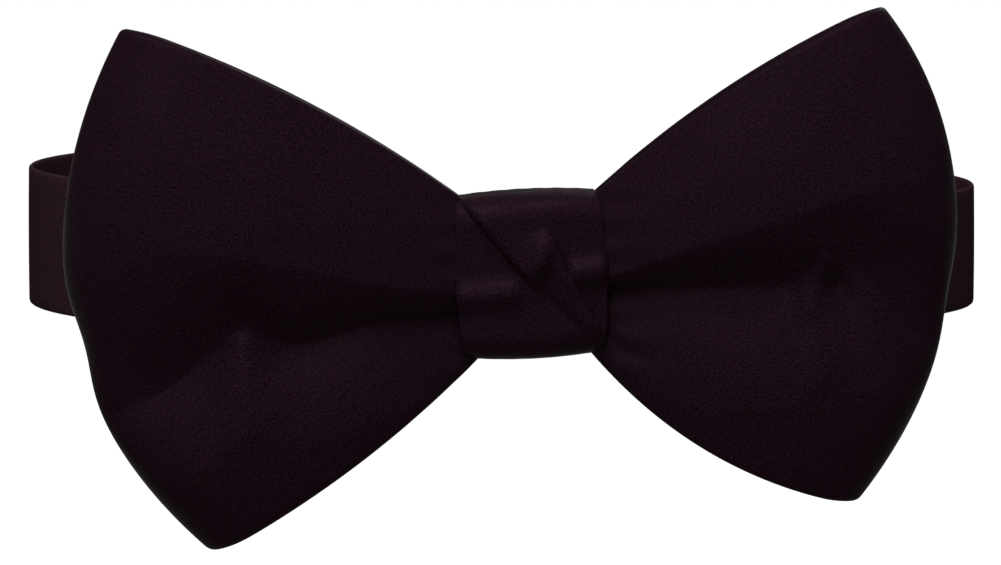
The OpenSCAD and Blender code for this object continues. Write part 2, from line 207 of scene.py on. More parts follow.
def satin_finish(name, deep, float_sheen_tint, cool_sheen_tint, rough, shine):
    """Black satin: dark ground, plum floats that are partly painted sheen, cooler ones among them, a
    soft gloss.
    """
    material, tree, shader = new_finish(name)
    uv = add(tree, "ShaderNodeUVMap", {"uv_map": "cloth"})
    grid = add(tree, "ShaderNodeMapping", links={"Vector": uv.outputs["UV"]},
               Scale=(1 / THREAD, 0.7 / THREAD, 1))
    speckle = add(tree, "ShaderNodeTexNoise", links={"Vector": grid.outputs["Vector"]},
                  Scale=0.7, Detail=3.0, Roughness=0.75)
    slub = add(tree, "ShaderNodeTexNoise", links={"Vector": grid.outputs["Vector"]},
               Scale=0.03, Detail=2.0)
    hue = add(tree, "ShaderNodeTexNoise", {"noise_dimensions": "4D"},
              {"Vector": grid.outputs["Vector"]}, Scale=0.45, Detail=2.0, W=4.0)
    # This speckle scatters the brighter floats, which are partly the weave's colour and partly
    # painted sheen.
    sheen_speckle_mask = add(tree, "ShaderNodeMapRange", links={"Value": speckle.outputs["Fac"]},
                From_Min=0.36, From_Max=0.66)
    cool = add(tree, "ShaderNodeMapRange", links={"Value": hue.outputs["Fac"]},
               From_Min=0.46, From_Max=0.62)
    floats = add(tree, "ShaderNodeMix", {"data_type": "RGBA"}, {"Factor": cool.outputs["Result"]})
    floats.inputs["A"].default_value = linear(float_sheen_tint)
    floats.inputs["B"].default_value = linear(cool_sheen_tint)
    tint = add(tree, "ShaderNodeMix", {"data_type": "RGBA"},
               {"Factor": sheen_speckle_mask.outputs["Result"], "B": floats.outputs["Result"]})
    tint.inputs["A"].default_value = linear(deep)
    tree.links.new(tint.outputs["Result"], shader.inputs["Base Color"])
    gloss = add(tree, "ShaderNodeMapRange", links={"Value": slub.outputs["Fac"]},
                From_Min=0.3, From_Max=0.7, To_Min=rough - 0.04, To_Max=rough + 0.04)
    tree.links.new(gloss.outputs["Result"], shader.inputs["Roughness"])
    bump = add(tree, "ShaderNodeBump", links={"Height": speckle.outputs["Fac"]},
               Strength=0.30, Distance=0.04 * MM)
    tree.links.new(bump.outputs["Normal"], shader.inputs["Normal"])
    shader.inputs["Specular IOR Level"].default_value = shine
    shader.inputs["Specular Tint"].default_value = linear("#FFC8E0")
    shader.inputs["Anisotropic"].default_value = 0.3
    return material


# The third and fourth colours of each satin are its floats, partly their own colour and partly
# painted sheen.
bow_satin = satin_finish("black_polyester_satin", "#040102", "#13080E", "#0B070E", 0.42, 0.005)
band_satin = satin_finish("black_satin_pressed", "#090405", "#24161B", "#191319", 0.50, 0.0)
print("satin finishes:", bow_satin.name, band_satin.name)

# %% [markdown]
# ## Interlining
#
# Inside the satin is a firm plain-woven interlining, off-white, that keeps the wings from
# collapsing. It hardly shows, so a weave modelled thread by thread would be wasted on it: two wave
# textures that cross at right angles, multiplied, give the small square cells of a plain weave,
# and the same value tints the cloth and bumps it.

# %% Interlining
interlining, tree, shader = new_finish("plain_woven_interlining")
place = add(tree, "ShaderNodeTexCoord")
wefts = add(tree, "ShaderNodeTexWave", {"bands_direction": "X"},
            {"Vector": place.outputs["Object"]}, Scale=500.0, Distortion=1.0)
warps = add(tree, "ShaderNodeTexWave", {"bands_direction": "Z"},
            {"Vector": place.outputs["Object"]}, Scale=500.0, Distortion=1.0)
weave = add(tree, "ShaderNodeMath", {"operation": "MULTIPLY"},
            {0: wefts.outputs["Fac"], 1: warps.outputs["Fac"]})
tone = add(tree, "ShaderNodeMix", {"data_type": "RGBA"}, {"Factor": weave.outputs["Value"]})
tone.inputs["A"].default_value = linear("#7F796E")
tone.inputs["B"].default_value = linear("#A39D90")
tree.links.new(tone.outputs["Result"], shader.inputs["Base Color"])
bump = add(tree, "ShaderNodeBump", links={"Height": weave.outputs["Value"]}, Strength=0.5,
           Distance=0.05 * MM)
tree.links.new(bump.outputs["Normal"], shader.inputs["Normal"])
shader.inputs["Roughness"].default_value = 0.9
print("interlining:", interlining.name)

# %% [markdown]
# ## Sewing thread
#
# The thread is black spun polyester: a two-ply twist with a dull gloss. The twist could be
# modelled as two round plies, but at a third of a millimetre thick a slanted wave texture does as
# well. It bumps the thread, and it tints it too: its light bands are a painted highlight on the
# plies and its dark ones painted shade in the grooves between them.

# %% Sewing thread
sewing_thread, tree, shader = new_finish("spun_polyester_thread")
place = add(tree, "ShaderNodeTexCoord")
twist_bump_and_shade = add(tree, "ShaderNodeTexWave", {"bands_direction": "DIAGONAL"},
            {"Vector": place.outputs["Object"]}, Scale=900.0, Distortion=0.6)
# Light and dark bands: painted highlight on the plies, painted shade in the grooves.
tone = add(tree, "ShaderNodeMix", {"data_type": "RGBA"}, {"Factor": twist_bump_and_shade.outputs["Fac"]})
tone.inputs["A"].default_value = linear("#0E0B0D")
tone.inputs["B"].default_value = linear("#2A2327")
tree.links.new(tone.outputs["Result"], shader.inputs["Base Color"])
bump = add(tree, "ShaderNodeBump", links={"Height": twist_bump_and_shade.outputs["Fac"]}, Strength=0.6,
           Distance=0.04 * MM)
tree.links.new(bump.outputs["Normal"], shader.inputs["Normal"])
shader.inputs["Roughness"].default_value = 0.6
print("thread:", sewing_thread.name)

# %% [markdown]
# ## Nickel plate
#
# The clasp and the adjuster are stamped steel with bright nickel plate, a warm white metal. It is
# smooth, but carries fine lines from the polishing wheel. Noise that is drawn out in one
# direction varies the roughness and the bump along those lines, which breaks up the reflections
# as wear does. A plain mirror would look like glass.

# %% Nickel plate
nickel, tree, shader = new_finish("bright_nickel_plate")
place = add(tree, "ShaderNodeTexCoord")
drawn = add(tree, "ShaderNodeMapping", links={"Vector": place.outputs["Object"]}, Scale=(1, 1, 18))
lines = add(tree, "ShaderNodeTexNoise", links={"Vector": drawn.outputs["Vector"]}, Scale=220.0,
            Detail=4.0)
wear = add(tree, "ShaderNodeTexNoise", links={"Vector": place.outputs["Object"]}, Scale=160.0)
gloss = add(tree, "ShaderNodeMapRange", links={"Value": lines.outputs["Fac"]}, From_Min=0.35,
            From_Max=0.7, To_Min=0.16, To_Max=0.34)
tree.links.new(gloss.outputs["Result"], shader.inputs["Roughness"])
tone = add(tree, "ShaderNodeMix", {"data_type": "RGBA"}, {"Factor": wear.outputs["Fac"]})
tone.inputs["A"].default_value = linear("#8C8881")
tone.inputs["B"].default_value = linear("#A9A69F")
tree.links.new(tone.outputs["Result"], shader.inputs["Base Color"])
bump = add(tree, "ShaderNodeBump", links={"Height": lines.outputs["Fac"]}, Strength=0.12,
           Distance=0.02 * MM)
tree.links.new(bump.outputs["Normal"], shader.inputs["Normal"])
shader.inputs["Metallic"].default_value = 1.0
print("finishes made:", len(bpy.data.materials))

# %% [markdown]
# ## How cloth is shaped here
#
# A wing or a strap starts flat, as cut cloth does: a grid whose UV map is the cut in metres. A
# formula then carries each point to its place in the sewn piece, and Solidify gives the cloth its
# thickness. The places come from the rigid model, so the cloth fits it. A flat grid keeps rows
# and columns even, which cloth simulation would not, and a pressed bow has no loose drape.

# %% Easing helpers


def ease(t):
    """0 to 1 with flat ends."""
    t = max(0.0, min(1.0, t))
    return t * t * (3 - 2 * t)


def mix(a, b, t):
    """The value a share t of the way from a to b."""
    return a + (b - a) * t


print("a quarter of the way, eased:", round(ease(0.25), 3))

# %% Cloth helper


def cloth_grid(name, size, steps, place, thick, material):
    """A flat cut of cloth, set by place(s, v), with s and v from 0 to 1, and given thickness."""
    bm = bmesh.new()
    uv_layer = bm.loops.layers.uv.new("cloth")
    bmesh.ops.create_grid(bm, x_segments=steps[0], y_segments=steps[1], size=0.5)
    for face in bm.faces:
        for loop in face.loops:
            loop[uv_layer].uv = ((loop.vert.co.x + 0.5) * size[0], (loop.vert.co.y + 0.5) * size[1])
        face.smooth = True
    for vert in bm.verts:
        vert.co = place(vert.co.x + 0.5, vert.co.y + 0.5)
    mesh = bpy.data.meshes.new(name)
    bm.to_mesh(mesh)
    bm.free()
    piece = bpy.data.objects.new(name, mesh)
    scene.collection.objects.link(piece)
    dress(piece, material)
    wall = piece.modifiers.new("thickness", "SOLIDIFY")
    wall.thickness = thick
    wall.offset = -1.0
    wall.use_even_offset = False
    edge = piece.modifiers.new("soft_edge", "BEVEL")
    edge.width = thick * 0.3
    edge.segments = 2
    edge.limit_method = "ANGLE"
    edge.angle_limit = math.radians(50)
    return piece


# %% [markdown]
# ## The wings
#
# Each wing is one loop of satin: it leaves the knot, spreads to the outer fold, turns round it
# and comes back behind. Pinching the middle to about a third of the cloth's height throws the
# front into two lobes with a deep valley between, and the valley widens and softens outwards. The
# outline and the depth follow the rigid wings. The folds are a few creases, each a short line of
# points in millimetres from the knot, with a depth and a width, and every point of the cloth sinks
# or rises by its distance from them.

# %% Wing outlines
LEAN = math.radians(2.7)
KNOT_HALF_W = 10.0
ROOT_X = 7.6
WING_MID = 73.5
TOP_SWELL = 2.1
SIDE_LIFT = 2.5
HIP_SHARE = 9.5
DENT_AT, DENT_WIDTH = 0.39, 0.09

# Tips as reach and height, root heights, and how far the outer fold bulges: over its whole
# length, low down (hip) and high up (shoulder), and how far it is pressed in below its middle
# (dent), all in millimetres. HIP_SHARE makes v (1 - v)^3 rise to 1.
LEFT = {"side": -1, "top": (52.6, 35.6), "low": (43.9, -36.0), "root": (9.2, -11.2),
        "swell": 12.4, "low_swell": 1.5, "hip": 2.3, "shoulder": 0.0, "dent": 1.3}
RIGHT = {"side": 1, "top": (49.0, 33.7), "low": (42.4, -34.1), "root": (8.8, -11.3),
         "swell": 10.4, "low_swell": 3.7, "hip": 1.8, "shoulder": 1.1, "dent": 0.6}


def bezier(a, c, b, t):
    """A point of the curve from a to b that is drawn towards c."""
    return a * (1 - t) ** 2 + c * 2 * t * (1 - t) + b * t * t


def swollen(a, b, out, along=0.0):
    """Control point of a curve from a to b whose middle stands out to the left of the chord."""
    d = (b - a).normalized()
    return (a + b) / 2 + Vector((-d.y, d.x)) * 2 * out + d * 2 * along


def outline_point(wing, u, v):
    """A point of the wing's outline patch: u runs out from the knot, v up from the lower edge."""
    top, low = Vector(wing["top"]), Vector(wing["low"])
    root_top, root_low = (Vector((ROOT_X, h)) for h in wing["root"])
    upper = bezier(root_top, swollen(root_top, top, TOP_SWELL), top, u)
    lower = bezier(root_low, swollen(root_low, low, -wing["low_swell"]), low, u)
    outer = bezier(low, swollen(low, top, -wing["swell"], SIDE_LIFT), top, v)
    outer.x += wing["hip"] * HIP_SHARE * v * (1 - v) ** 3
    outer.x += wing["shoulder"] * HIP_SHARE * (1 - v) * v ** 3
    outer.x -= wing["dent"] * math.exp(-(((v - DENT_AT) / DENT_WIDTH) ** 2))
    root = root_low.lerp(root_top, v)
    corners = root_low.lerp(low, u).lerp(root_top.lerp(top, u), v)
    return lower.lerp(upper, v) + root.lerp(outer, u) - corners


print("outer fold at half height, mm:", [round(outline_point(w, 1, 0.5).x, 1) for w in (LEFT, RIGHT)])

# %% [markdown]
# The fold that the knot pinches into each wing has two edges. From the brow the cloth turns in
# and faces down, so it is dark; at the foot it turns out again and the lower lobe catches the
# light. Both edges are lines of (x, z) points outwards from the knot, in millimetres. Smaller
# creases are added to it: each has its points, its depth at both ends (raised if negative) and
# its half-widths above and below.

# %% Folds
LEFT["brow"] = [(8, -2.6), (20, -0.4), (31, 2.6), (44, 5.4), (60, 6.6)]
LEFT["foot"] = [(8, -5.4), (20, -5.6), (27, -7.2), (32, -8.4), (36, -6.8), (39, -5.0),
                (43, -9.0), (50, -13.8), (60, -17.5)]
LEFT["sink"] = [(8, 2.4), (14, 3.5), (28, 5.2), (45, 6.3), (60, 4.2)]
LEFT["recover"] = [(8, 7.0), (20, 13.0), (36, 14.0), (60, 14.0)]
LEFT["creases"] = [
    {"line": [(26, -8.0), (32, -9.4), (35.0, -9.0)],
     "deep": (0.3, 0.7), "up": (2.6, 2.6), "down": (3.0, 3.4)},
    {"line": [(39.4, -7.0), (38.5, -12.0), (35, -19)],
     "deep": (-0.7, 0.0), "up": (3.2, 5.0), "down": (3.2, 5.0)},
    {"line": [(40, -8.4), (45, -13.4), (53, -18.6)],
     "deep": (-0.5, -0.5), "up": (2.4, 3.0), "down": (4.0, 6.0)},
    {"line": [(57.5, 18), (60, 2), (57, -14)],
     "deep": (-0.5, -0.5), "up": (1.4, 1.4), "down": (1.4, 1.4)},
]
RIGHT["brow"] = [(8, -1.6), (22, 2.6), (36, 6.4), (46, 9.4), (60, 10.8)]
RIGHT["foot"] = [(8, -3.6), (22, -3.2), (31, -3.4), (35.5, -3.8), (37.5, -0.8), (39.7, 2.0),
                 (42.5, -0.6), (46, -4.2), (50, -9.6), (60, -18)]
RIGHT["sink"] = [(8, 2.4), (14, 3.5), (28, 4.9), (40, 5.2), (50, 5.6), (60, 4.0)]
RIGHT["recover"] = [(8, 8.0), (20, 17.0), (36, 16.0), (60, 13.0)]
RIGHT["creases"] = [
    {"line": [(36.6, -6.5), (37.8, -2.0), (39.7, 1.4)],
     "deep": (-0.6, -1.2), "up": (2.4, 2.2), "down": (2.0, 2.0)},
    {"line": [(39.7, 1.4), (45.1, -3.8), (48.4, -8.5), (52, -14)],
     "deep": (-1.4, -1.1), "up": (3.0, 4.0), "down": (2.4, 2.8)},
    {"line": [(40.9, -4.0), (41.8, -10.0), (43.2, -19.0)],
     "deep": (2.3, 0.4), "up": (2.6, 5.0), "down": (2.2, 5.0)},
    {"line": [(51, -1), (54.5, -6), (55.5, -13)],
     "deep": (0.6, 0.8), "up": (3.0, 4.0), "down": (2.4, 2.4)},
    {"line": [(9, -8.6), (13, -11.8), (18, -13.0)],
     "deep": (0.6, 0.1), "up": (0.9, 1.5), "down": (0.9, 2.0)},
]


print("creases:", len(LEFT["creases"]) + len(RIGHT["creases"]))

# %% Depth of the folds


def along(line, x):
    """Height of a line of points at x, with its corners rounded over three millimetres."""
    total = 0.0
    for shift in (-1.4, -0.7, 0.0, 0.7, 1.4):
        at = max(line[0][0], min(line[-1][0], x + shift))
        for (ax, az), (bx, bz) in zip(line, line[1:]):
            if at <= bx:
                total += az + (bz - az) * (at - ax) / (bx - ax)
                break
    return total / 5


def fold_depth(wing, x, z):
    """How far the main fold sinks the point (x, z), in millimetres."""
    brow, foot = along(wing["brow"], x), along(wing["foot"], x)
    if z >= brow:
        return 0.0
    if z > foot:
        t = (brow - z) / (brow - foot)
        share = t ** 1.35 * (1 - 0.12 * t ** 8)
    else:
        share = 0.88 * (1 - min(1.0, (foot - z) / along(wing["recover"], x))) ** 1.35
    return along(wing["sink"], x) * share


def crease_depth(crease, x, z):
    """How far a crease sinks the point (x, z), in millimetres."""
    line = crease["line"]
    best, total = None, len(line) - 1
    for i in range(total):
        ax, az = line[i]
        dx, dz = line[i + 1][0] - ax, line[i + 1][1] - az
        t = max(0.0, min(1.0, ((x - ax) * dx + (z - az) * dz) / (dx * dx + dz * dz)))
        off_x, off_z = x - ax - t * dx, z - az - t * dz
        distance = math.hypot(off_x, off_z)
        if best is None or distance < best[0]:
            best = (distance, (i + t) / total, dx * off_z - dz * off_x > 0)
    distance, run, above = best
    width = mix(*crease["up" if above else "down"], run)
    return mix(*crease["deep"], run) * math.exp(-((distance / width) ** 1.8))


print("left fold, 30 mm out, is deep by mm:", round(fold_depth(LEFT, 30, -4), 1))

# %% [markdown]
# The satin is a flat tube round the interlining: it goes round both long edges and meets itself
# in a seam down the middle of the inside, so the interlining never shows. One function gives,
# for each row of the cut, where it lies across the wing and how deep inside the outer face.

# %% The tube of satin
# Shares of the cut's height that lie inside, or turn round an edge, and places across the wing
INSIDE, BEND = 0.10, 0.05
SEAM_PLACE, EDGE_PLACE, EDGE_ROUND = 0.498, 0.012, 0.009
# Depths in millimetres inside the outer face
TUBE_DEPTH, SATIN_SKIN, LINING_DEPTH = 1.30, 0.02, 0.62


def hemmed(v):
    """Place across the wing and depth in millimetres, for a row of the satin cut."""
    k = min(v, 1 - v)
    if k < INSIDE:
        at, depth = mix(SEAM_PLACE, EDGE_PLACE, k / INSIDE), TUBE_DEPTH
    elif k < INSIDE + BEND:
        turn = math.pi * (k - INSIDE) / BEND
        at = EDGE_PLACE - EDGE_ROUND * math.sin(turn)
        depth = TUBE_DEPTH / 2 * (1 + math.cos(turn))
    else:
        at = mix(EDGE_PLACE, 0.5, (k - INSIDE - BEND) / (0.5 - INSIDE - BEND))
        depth = 0.0
    return (at if v < 0.5 else 1 - at), depth


print("first row of the cut lies at:", hemmed(0.0))

# %% [markdown]
# A point runs from the knot along the front, round the outer fold and back behind, so its angle
# round the loop gives both its reach and its side. The front is deep and folded and the back is
# nearly flat, since it was pressed against a card. Sculpting could give the same shape, but a
# formula can be read and changed.

# %% Wing shape
def swell_depth(u, root, full):
    """The loop's depth from its middle plane, which grows from the knot to its full size."""
    return mix(root, full, math.sin(math.pi / 2 * min(1.0, u / 0.6)))


# Depth of the loop in millimetres, at the knot and in full, and the least that a crease leaves
FRONT_ROOT, FRONT_FULL = 4.2, 9.2
BACK_ROOT, BACK_FULL = 2.6, 3.5
THINNEST = 0.9


def wing_point(wing, s, v, depth):
    """Where a point of the cloth lies: s from the knot's front, out round the fold and back."""
    turn = math.pi * s
    u = math.sin(turn)
    near_tip = max(0.0, (u - 0.9) / 0.1) ** 2
    v = mix(v, 0.5, 0.010 * near_tip)
    flat = outline_point(wing, u * (1 - depth / wing["top"][0]), v)
    cap = math.sqrt(max(0.0, 1 - u ** 10))
    ripple = noise.noise(Vector((flat.x * 0.07, s * 4, flat.y * 0.09 + 5 * wing["side"])))
    if s < 0.5:
        rim = 1 - 0.44 * abs(2 * v - 1) ** 2.6
        near = math.exp(-(((flat.x - ROOT_X) / 6.0) ** 2))
        pleats = 0.16 * near * math.sin(flat.y * 1.55 + 0.7 * wing["side"])
        fold = fold_depth(wing, flat.x, flat.y)
        fold += sum(crease_depth(c, flat.x, flat.y) for c in wing["creases"])
        full = swell_depth(u, FRONT_ROOT, FRONT_FULL) * rim
        out = -(max(full - fold - pleats + 0.35 * ripple * u, THINNEST) - depth)
    else:
        rim = 1 - 0.45 * abs(2 * v - 1) ** 5
        near = math.exp(-(((flat.x - ROOT_X) / 9.0) ** 2))
        valley = 1.1 * math.exp(-(((v - 0.5) / 0.12) ** 2)) * (1 - 0.7 * u)
        pleats = 0.2 * near * math.sin(flat.y * 1.4)
        full = swell_depth(u, BACK_ROOT, BACK_FULL) * rim
        out = max(full - valley + pleats + 0.3 * ripple * u, THINNEST) - depth
    x, y, z = flat.x * wing["side"], -WING_MID + out * cap, flat.y
    return Vector((x * math.cos(LEAN) - z * math.sin(LEAN), y,
                   x * math.sin(LEAN) + z * math.cos(LEAN))) * MM


def satin_place(wing):
    """Where each point of a wing's satin cut goes."""
    def place(s, v):
        at, depth = hemmed(v)
        return wing_point(wing, s, at, depth + SATIN_SKIN)
    return place


def lining_place(wing):
    """Where each point of its interlining goes, between the satin's two layers."""
    return lambda s, v: wing_point(wing, s, mix(0.016, 0.984, v), LINING_DEPTH)


print("left outer fold is at:", [round(c, 4) for c in wing_point(LEFT, 0.5, 0.5, 0)])

# %% Sew the wings
WING_HEIGHT = 56 * MM
WING_SATIN, WING_LINING = 0.28 * MM, 0.3 * MM
for side_name, wing in (("left", LEFT), ("right", RIGHT)):
    reach = (wing["top"][0] + wing["low"][0]) / 2 + wing["swell"] * 0.55
    size = (2 * reach * MM, WING_HEIGHT)
    satin_wing = cloth_grid(f"{side_name}_wing_satin", (size[0], size[1] / 0.7), (190, 224),
                            satin_place(wing), WING_SATIN, bow_satin)
    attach(satin_wing, f"wing_{side_name}")
    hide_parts(f"{side_name}_wing")
    firm = cloth_grid(f"{side_name}_wing_interlining", size, (120, 60), lining_place(wing),
                      WING_LINING, interlining)
    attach(firm, f"wing_{side_name}")
    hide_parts(f"{side_name}_wing_lining")
    print(side_name, "wing cut, mm:", [round(x / MM) for x in size])

# %% [markdown]
# ## The knot
#
# A strip of satin runs round the pinched middle and is sewn to itself behind. It was pulled
# tight by hand, so it is not even: one crisp pleat runs from the upper left across the front, a
# second drops from the top towards the lower right, and a small facet lies between them. The
# strip is a grid bent round a box with round corners, with those pleats raised on its front.

# %% Knot section
# Heights, and distances from the neck's centre, in millimetres. The arch and the crown round the
# wrap off towards its two edges, and the inset leaves room for the raised pleats.
KNOT_H = 22.1
KNOT_BACK = 66.2
KNOT_FRONT = 79.4
KNOT_ARCH = 0.5
KNOT_CROWN = 1.0
KNOT_DROP = 0.55
KNOT_CLOTH = 0.45
KNOT_INSET = 0.3
BACK_CORNER = 1.6
FRONT_CORNER = 3.2


def round_box_path(half_h, front):
    """The strip's path round the knot, from the seam behind, over the top and down the front."""
    straight_back = half_h - BACK_CORNER
    straight_top = front - KNOT_BACK - BACK_CORNER - FRONT_CORNER
    face = 2 * (half_h - FRONT_CORNER)
    quarter_b, quarter_f = math.pi / 2 * BACK_CORNER, math.pi / 2 * FRONT_CORNER
    legs = [straight_back, quarter_b, straight_top, quarter_f, face, quarter_f, straight_top,
            quarter_b, straight_back]

    def at(t):
        left = t * sum(legs)
        leg = 0
        while leg < 8 and left > legs[leg]:
            left -= legs[leg]
            leg += 1
        back_in, front_in = KNOT_BACK + BACK_CORNER, front - FRONT_CORNER
        if leg == 0:
            return KNOT_BACK, left
        if leg == 1:
            a = left / BACK_CORNER
            return back_in - BACK_CORNER * math.cos(a), straight_back + BACK_CORNER * math.sin(a)
        if leg == 2:
            return back_in + left, half_h
        if leg == 3:
            a = left / FRONT_CORNER
            return front_in + FRONT_CORNER * math.sin(a), half_h - FRONT_CORNER * (1 - math.cos(a))
        if leg == 4:
            return front, half_h - FRONT_CORNER - left
        if leg == 5:
            a = left / FRONT_CORNER
            return front_in + FRONT_CORNER * math.cos(a), -half_h + FRONT_CORNER * (1 - math.sin(a))
        if leg == 6:
            return front_in - left, -half_h
        if leg == 7:
            a = left / BACK_CORNER
            return back_in - BACK_CORNER * math.sin(a), -straight_back - BACK_CORNER * math.cos(a)
        return KNOT_BACK, -straight_back + left

    return at, sum(legs)


print("once round the knot, mm:", round(round_box_path(KNOT_H / 2, KNOT_FRONT)[1], 1))

# %% [markdown]
# A pleat is a layer of the strip that lies over the next one and ends in a crisp edge. On the
# grid each is a low swelling that rises sharply on one side of a line and fades slowly on the
# other. A shadow falls at the sharp side, as it does where a real layer ends, and the cloth stays
# one surface that can't cut through itself.

# %% Knot pleats


def beside(x, z, a, b):
    """Distance to the upper right of the line from a to b, and the share of the line run."""
    dx, dz = b[0] - a[0], b[1] - a[1]
    length = math.hypot(dx, dz)
    off = (dx * (z - a[1]) - dz * (x - a[0])) / length
    return off, ((x - a[0]) * dx + (z - a[1]) * dz) / length ** 2


def window(run, start, end, soft):
    """1 between start and end, with a soft rise and fall inside them."""
    return ease((run - start) / soft) * ease((end - run) / soft)


def knot_relief(x, z):
    """How far the knot's front stands out at (x, z) from its centre, in millimetres."""
    # The first pleat: the layer on its upper right ends in a crisp edge
    off, run = beside(x, z, (-9.4, 10.7), (-0.3, -1.0))
    layer = ease((off + 0.25) / 0.6) * math.exp(-(max(0.0, off) / 4.2) ** 2)
    lift = 0.85 * layer * window(run, -0.15, 1.12, 0.22)
    # Its soft run on to the lower right
    off, run = beside(x, z, (-0.3, -1.0), (8.4, -9.8))
    lift -= 0.35 * math.exp(-((off / 0.7) ** 2)) * window(run, -0.05, 1.1, 0.3)
    # The second pleat: the strip on its left ends in a crisp edge over a shadow
    off, run = beside(x, z, (2.1, 6.6), (4.6, 0.2))
    layer = ease((0.25 - off) / 0.6) * math.exp(-((min(0.0, off) / 2.6) ** 2))
    lift += 0.75 * layer * window(run, 0.0, 1.2, 0.45)
    off, run = beside(x, z, (4.3, 0.6), (8.9, -8.4))
    layer = ease((0.25 - off) / 0.6) * math.exp(-((min(0.0, off) / 2.4) ** 2))
    lift += 0.85 * layer * window(run, -0.15, 1.1, 0.3)
    # The facet between them, a long narrow swelling that stands nearly upright
    down_kite = 0.275 * (x - 1.1) + 0.96 * (z - 1.7)
    over_kite = 0.96 * (x - 1.1) - 0.275 * (z - 1.7)
    kite = math.exp(-((over_kite / 1.4) ** 2) - (down_kite / 3.2) ** 2)
    # Pressed ridges across the wrap, one each side of the pleats
    left_ridge = math.exp(-(((z + 2.7 - 0.06 * (x + 6)) / 1.6) ** 2)) * ease((-0.6 - x) / 2.5)
    right_ridge = math.exp(-(((z + 0.3 - 0.1 * (x - 7)) / 1.6) ** 2)) * ease((x - 4.4) / 1.6)
    lift += 1.10 * left_ridge + 1.40 * right_ridge + 1.10 * kite
    edge = ease((KNOT_HALF_W + 0.6 - abs(x)) / 1.4)
    return lift * edge * ease((KNOT_H / 2 - abs(z)) / 2.0)


print("first pleat stands out by mm:", round(knot_relief(-4.0, 5.5), 2))

# %% Knot shape


def knot_cloth(s, v):
    """Carries the strip round the knot: s runs across its width, v round the knot."""
    q = 2 * s - 1
    path, _ = round_box_path(KNOT_H / 2 - KNOT_INSET - KNOT_ARCH * q * q,
                             KNOT_FRONT - KNOT_INSET - KNOT_CROWN * q * q)
    forward, z = path(v)
    z -= KNOT_DROP
    x = q * KNOT_HALF_W * (1 - 0.07 * (2 * z / KNOT_H) ** 2)
    facing_front = ease((forward - (KNOT_FRONT - 6)) / 4)
    forward += knot_relief(x, z) * facing_front
    pull = 0.10 * math.sin(x * 2.3 + 0.35 * z) * (1 - facing_front)
    z *= 1 + pull * 0.02
    lean_x = x * math.cos(LEAN) - z * math.sin(LEAN)
    lean_z = x * math.sin(LEAN) + z * math.cos(LEAN)
    return Vector((lean_x, -forward, lean_z)) * MM


print("middle of the knot's front:", [round(c, 4) for c in knot_cloth(0.5, 0.5)])

# %% Sew the knot
wrap_length = round_box_path(KNOT_H / 2, KNOT_FRONT)[1] * MM
knot_size = (2 * KNOT_HALF_W * MM, wrap_length)
knot = cloth_grid("knot_wrap_satin", knot_size, (110, 300), knot_cloth,
                  KNOT_CLOTH * MM, bow_satin)
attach(knot, "bow")
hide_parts("knot_wrap")
dress(nodes["knot_lining"], interlining)
dress(nodes["waist_thread"], sewing_thread)
print("knot strip, mm:", [round(x / MM, 1) for x in knot_size])

# %% [markdown]
# ## The gathered waist
#
# Inside the knot the wings' cloth is one bundle of narrow pleats, bound with a few turns of
# thread. It shows only from above and below, between the knot and a wing. A cylinder with many
# sides is pinched in its middle and its wall is waved in and out, which gives the pleats.

# %% Gathered waist
WAIST_HALF_W = 9.6
PLEATS = 14
STATIONS = 24
bm = bmesh.new()
ring = bmesh.ops.create_circle(bm, cap_ends=False, segments=PLEATS * 6, radius=1.0)
edges = list({e for v in ring["verts"] for e in v.link_edges})
bmesh.ops.transform(bm, matrix=Matrix.Rotation(math.pi / 2, 4, "Y"), verts=bm.verts)
bmesh.ops.translate(bm, verts=bm.verts, vec=(-1, 0, 0))
for _ in range(STATIONS):
    made = bmesh.ops.extrude_edge_only(bm, edges=edges)["geom"]
    edges = [g for g in made if isinstance(g, bmesh.types.BMEdge)]
    moved = [g for g in made if isinstance(g, bmesh.types.BMVert)]
    bmesh.ops.translate(bm, verts=moved, vec=(2 / STATIONS, 0, 0))
bmesh.ops.holes_fill(bm, edges=[e for e in bm.edges if e.is_boundary], sides=0)
for vert in bm.verts:
    q = vert.co.x
    angle = math.atan2(vert.co.z, vert.co.y)
    rib = 1 + 0.07 * math.cos(angle * PLEATS) * (0.4 + 0.6 * q * q)
    half_d, half_h = mix(3.0, 3.3, q * q), mix(6.1, 8.2, q * q)
    x, z = q * WAIST_HALF_W, math.sin(angle) * half_h * rib
    vert.co = Vector((x * math.cos(LEAN) - z * math.sin(LEAN),
                      -WING_MID + math.cos(angle) * half_d * rib,
                      x * math.sin(LEAN) + z * math.cos(LEAN))) * MM
bmesh.ops.recalc_face_normals(bm, faces=bm.faces)
uv_layer = bm.loops.layers.uv.new("cloth")
for face in bm.faces:
    face.smooth = True
    for loop in face.loops:
        loop[uv_layer].uv = (loop.vert.co.x, loop.vert.co.z)
waist_mesh = bpy.data.meshes.new("gathered_waist")
bm.to_mesh(waist_mesh)
bm.free()
waist = bpy.data.objects.new("gathered_waist", waist_mesh)
scene.collection.objects.link(waist)
dress(waist, bow_satin)
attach(waist, "bow")
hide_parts("bow_waist")
print("waist faces:", len(waist_mesh.polygons))

# %% [markdown]
# ## The neck band
#
# The band is a flat tube of satin over its interlining, pressed so that its two long edges are
# folds. Seen from the end it is a thin slot with round ends, so each strap is that section swept
# along a path round the neck. The paths are the rigid model's own: angles are measured from the
# front of the neck towards the right, and radii from its centre.

